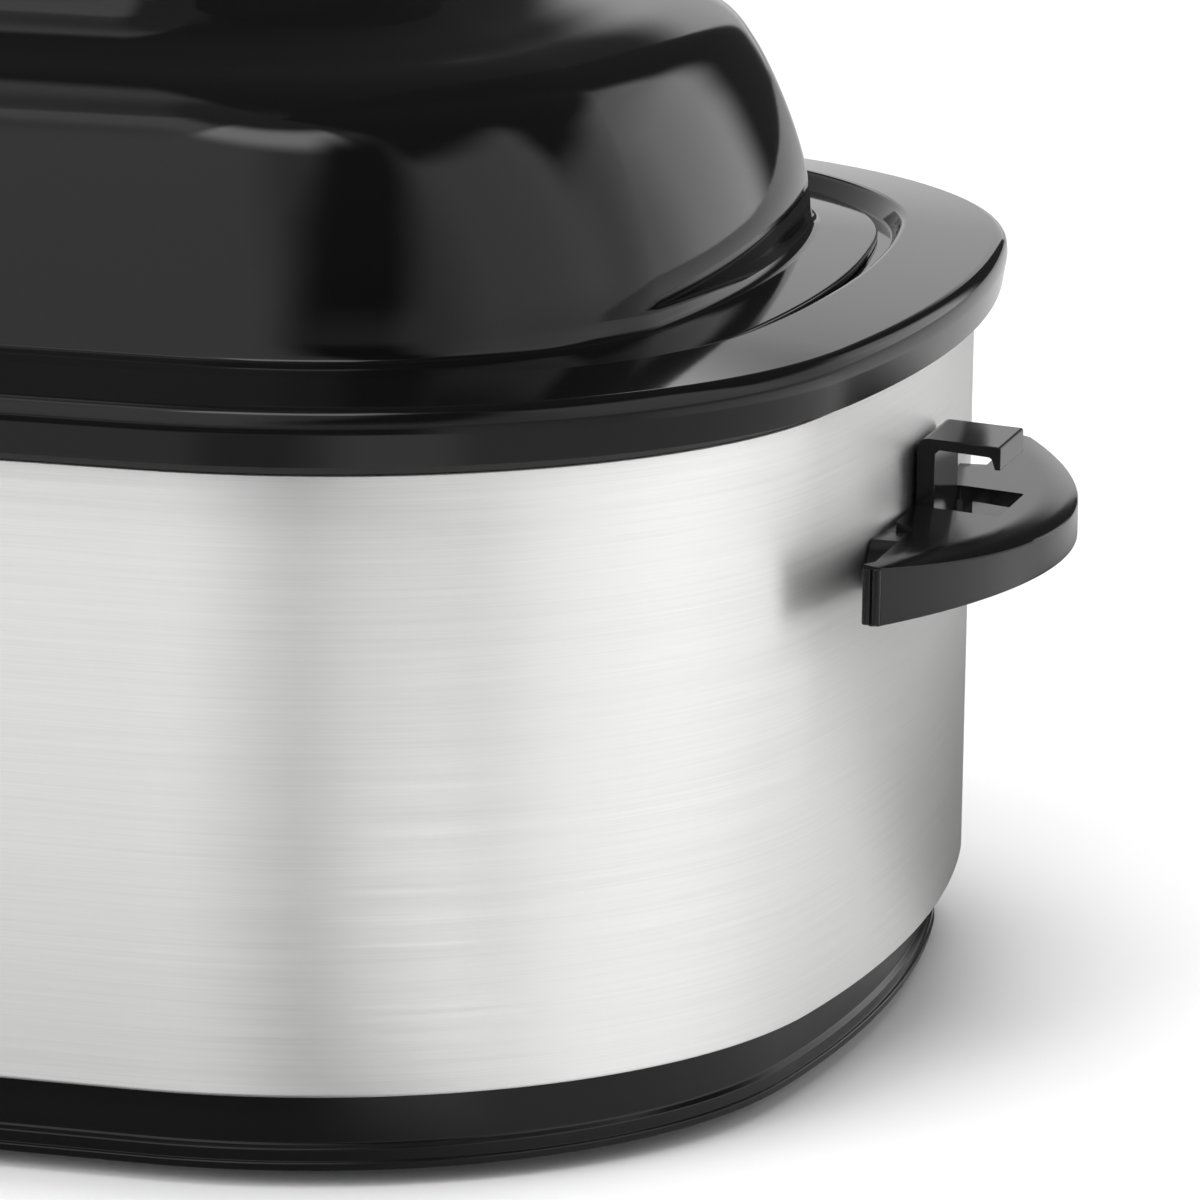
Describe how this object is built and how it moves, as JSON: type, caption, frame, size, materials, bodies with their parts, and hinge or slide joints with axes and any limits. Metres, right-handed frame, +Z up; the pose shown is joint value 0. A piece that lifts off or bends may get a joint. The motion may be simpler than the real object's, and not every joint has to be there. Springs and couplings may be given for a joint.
{
  "type": "electric roaster oven",
  "caption": "Countertop roaster oven: long oval steel body, lift-out pan and rack, high domed lift-off lid, end handles with lid hooks and a front dial.",
  "frame": {"origin": "on the table under the middle of the body", "axes": "+X runs to one end handle, the dial faces -Y, and +Z is up"},
  "size_m": [0.6128, 0.4234, 0.324],
  "materials": {
    "black_gloss_plastic": "gloss moulding",
    "plated_steel": "plain zinc plate",
    "black_rubber": "matt",
    "bright_sheet": "bright mill finish",
    "brushed_steel": "brushed along the body",
    "black_plastic": "fine satin moulding",
    "well_enamel": "speckled grey enamel",
    "glass_wool": "soft blanket",
    "heater_steel": "heat-dulled steel",
    "thermostat_case": "brown moulding",
    "brass": "plain",
    "lens_amber": "clear amber",
    "lamp_glass": "clear",
    "lead_sleeve": "braided glass sleeve",
    "white_plastic": "plain moulding",
    "black_enamel": "gloss porcelain enamel",
    "chrome_wire": "bright plate"
  },
  "bodies": {
    "oven_body": {"base_ring": "black_gloss_plastic", "base_plate": "plated_steel", "rubber_feet": "black_rubber", "well_standoffs": "plated_steel", "base_screws": "plated_steel", "heat_shield": "bright_sheet", "steel_wrap": "brushed_steel", "rim_collar": "black_plastic", "heating_well": "well_enamel", "insulation_blanket": "glass_wool", "heater_band": "heater_steel", "heater_straps": "plated_steel", "heater_terminals": "plated_steel", "control_bezel": "black_gloss_plastic", "thermostat_bracket": "plated_steel", "thermostat": "thermostat_case", "thermostat_nut": "brass", "lamp_lens": "lens_amber", "indicator_lamp": "lamp_glass", "control_leads": "lead_sleeve", "cord_gland": "black_plastic", "terminal_block": "white_plastic", "thermal_fuse": "plated_steel", "handle_right": "black_gloss_plastic", "handle_left": "black_gloss_plastic", "handle_backing_plates": "plated_steel", "handle_screws": "plated_steel"},
    "dial": {"temperature_knob": "black_gloss_plastic", "dial_shaft": "plated_steel"},
    "pan": {"roasting_pan": "black_enamel"},
    "rack": {"wire_rack": "chrome_wire"},
    "lid": {"lid_shell": "black_enamel", "lid_handle": "black_gloss_plastic", "lid_washers": "plated_steel", "lid_handle_screws": "plated_steel"}
  },
  "joints": [
    {"name": "dial_turn", "type": "hinge", "parent": "oven_body", "child": "dial", "pos_m": [0, -0.2, 0.069], "axis": [0, 1, 0], "range_deg": [0, 270]},
    {"name": "pan_lift", "type": "slide", "parent": "oven_body", "child": "pan", "axis": [0, 0, 1], "range_m": [0, 0.2]},
    {"name": "lid_lift", "type": "slide", "parent": "pan", "child": "lid", "axis": [0, 0, 1], "range_m": [0, 0.4]},
    {"name": "rack_lift", "type": "slide", "parent": "pan", "child": "rack", "axis": [0, 0, 1], "range_m": [0, 0.2]}
  ],
  "couplings": [
    {"joint": "rack_lift", "follows": "lid_lift", "ratio": 0.5}
  ]
}
